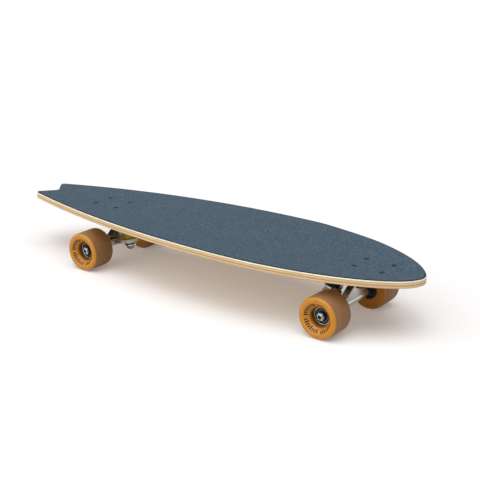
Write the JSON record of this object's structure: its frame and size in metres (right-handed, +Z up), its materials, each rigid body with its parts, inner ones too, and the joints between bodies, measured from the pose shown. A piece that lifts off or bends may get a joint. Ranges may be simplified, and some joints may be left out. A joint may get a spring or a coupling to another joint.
{
  "type": "longboard skateboard",
  "caption": "Longboard skateboard with a fishtail wooden deck, blue grip sheet, sprung steering trucks and amber wheels on ball bearings.",
  "frame": {"origin": "on the floor under the middle of the deck's length and width", "axes": "+X along the board to the nose, +Y to the left of someone facing the nose, +Z up"},
  "size_m": [0.876, 0.2556, 0.1156],
  "materials": {
    "wood": "satin",
    "grip": "gritty",
    "cast_alloy": "cast, brushed",
    "steel": "bright",
    "black_steel": "black",
    "bushing_urethane": "satin",
    "wheel_urethane": "satin",
    "black_plastic": "satin",
    "black_rubber": "matte"
  },
  "bodies": {
    "board": {"deck": "wood", "grip_tape": "grip", "front_baseplate": "cast_alloy", "front_pivot_cup": "black_plastic", "front_kingpin": "steel", "front_kingpin_nut": "steel", "front_boardside_washer": "steel", "front_roadside_washer": "steel", "front_boardside_bushing": "bushing_urethane", "front_roadside_bushing": "bushing_urethane", "front_mounting_bolts": "black_steel", "front_mounting_nuts": "black_steel", "rear_baseplate": "cast_alloy", "rear_pivot_cup": "black_plastic", "rear_kingpin": "steel", "rear_kingpin_nut": "steel", "rear_boardside_washer": "steel", "rear_roadside_washer": "steel", "rear_boardside_bushing": "bushing_urethane", "rear_roadside_bushing": "bushing_urethane", "rear_mounting_bolts": "black_steel", "rear_mounting_nuts": "black_steel"},
    "front_truck": {"front_hanger": "cast_alloy", "front_axle": "steel", "front_axle_nuts": "steel", "front_speed_washers": "steel", "front_bearing_spacers": "steel", "front_bearing_inner_rings": "steel"},
    "front_left_wheel_set": {"front_left_wheel": "wheel_urethane", "front_left_wheel_core": "black_plastic", "front_left_bearing_outer_rings": "steel", "front_left_bearing_shields": "black_rubber"},
    "front_left_ball_set": {"front_left_bearing_balls": "steel", "front_left_bearing_cages": "black_plastic"},
    "front_right_wheel_set": {"front_right_wheel": "wheel_urethane", "front_right_wheel_core": "black_plastic", "front_right_bearing_outer_rings": "steel", "front_right_bearing_shields": "black_rubber"},
    "front_right_ball_set": {"front_right_bearing_balls": "steel", "front_right_bearing_cages": "black_plastic"},
    "rear_truck": {"rear_hanger": "cast_alloy", "rear_axle": "steel", "rear_axle_nuts": "steel", "rear_speed_washers": "steel", "rear_bearing_spacers": "steel", "rear_bearing_inner_rings": "steel"},
    "rear_left_wheel_set": {"rear_left_wheel": "wheel_urethane", "rear_left_wheel_core": "black_plastic", "rear_left_bearing_outer_rings": "steel", "rear_left_bearing_shields": "black_rubber"},
    "rear_left_ball_set": {"rear_left_bearing_balls": "steel", "rear_left_bearing_cages": "black_plastic"},
    "rear_right_wheel_set": {"rear_right_wheel": "wheel_urethane", "rear_right_wheel_core": "black_plastic", "rear_right_bearing_outer_rings": "steel", "rear_right_bearing_shields": "black_rubber"},
    "rear_right_ball_set": {"rear_right_bearing_balls": "steel", "rear_right_bearing_cages": "black_plastic"}
  },
  "joints": [
    {"name": "front_steer", "type": "hinge", "parent": "board", "child": "front_truck", "pos_m": [0.262, 0, 0.0395], "axis": [0.8387, 0, 0.5446], "range_deg": [-14, 14], "stiffness_Nm_per_rad": 60, "deforming": ["front_boardside_bushing", "front_roadside_bushing"]},
    {"name": "front_left_spin", "type": "hinge", "parent": "front_truck", "child": "front_left_wheel_set", "pos_m": [0.3, 0.0775, 0.0375], "axis": [0, 1, 0], "continuous": true},
    {"name": "front_left_balls", "type": "hinge", "parent": "front_truck", "child": "front_left_ball_set", "pos_m": [0.3, 0.0775, 0.0375], "axis": [0, 1, 0], "continuous": true},
    {"name": "front_right_spin", "type": "hinge", "parent": "front_truck", "child": "front_right_wheel_set", "pos_m": [0.3, -0.0775, 0.0375], "axis": [0, 1, 0], "continuous": true},
    {"name": "front_right_balls", "type": "hinge", "parent": "front_truck", "child": "front_right_ball_set", "pos_m": [0.3, -0.0775, 0.0375], "axis": [0, 1, 0], "continuous": true},
    {"name": "rear_steer", "type": "hinge", "parent": "board", "child": "rear_truck", "pos_m": [-0.215, 0, 0.0395], "axis": [-0.8387, 0, 0.5446], "range_deg": [-14, 14], "stiffness_Nm_per_rad": 60, "deforming": ["rear_boardside_bushing", "rear_roadside_bushing"]},
    {"name": "rear_left_spin", "type": "hinge", "parent": "rear_truck", "child": "rear_left_wheel_set", "pos_m": [-0.242, 0.0775, 0.0375], "axis": [0, 1, 0], "continuous": true},
    {"name": "rear_left_balls", "type": "hinge", "parent": "rear_truck", "child": "rear_left_ball_set", "pos_m": [-0.242, 0.0775, 0.0375], "axis": [0, 1, 0], "continuous": true},
    {"name": "rear_right_spin", "type": "hinge", "parent": "rear_truck", "child": "rear_right_wheel_set", "pos_m": [-0.242, -0.0775, 0.0375], "axis": [0, 1, 0], "continuous": true},
    {"name": "rear_right_balls", "type": "hinge", "parent": "rear_truck", "child": "rear_right_ball_set", "pos_m": [-0.242, -0.0775, 0.0375], "axis": [0, 1, 0], "continuous": true}
  ],
  "couplings": [
    {"joint": "front_left_balls", "follows": "front_left_spin", "ratio": 0.6323},
    {"joint": "front_right_balls", "follows": "front_right_spin", "ratio": 0.6323},
    {"joint": "rear_left_balls", "follows": "rear_left_spin", "ratio": 0.6323},
    {"joint": "rear_right_balls", "follows": "rear_right_spin", "ratio": 0.6323}
  ]
}
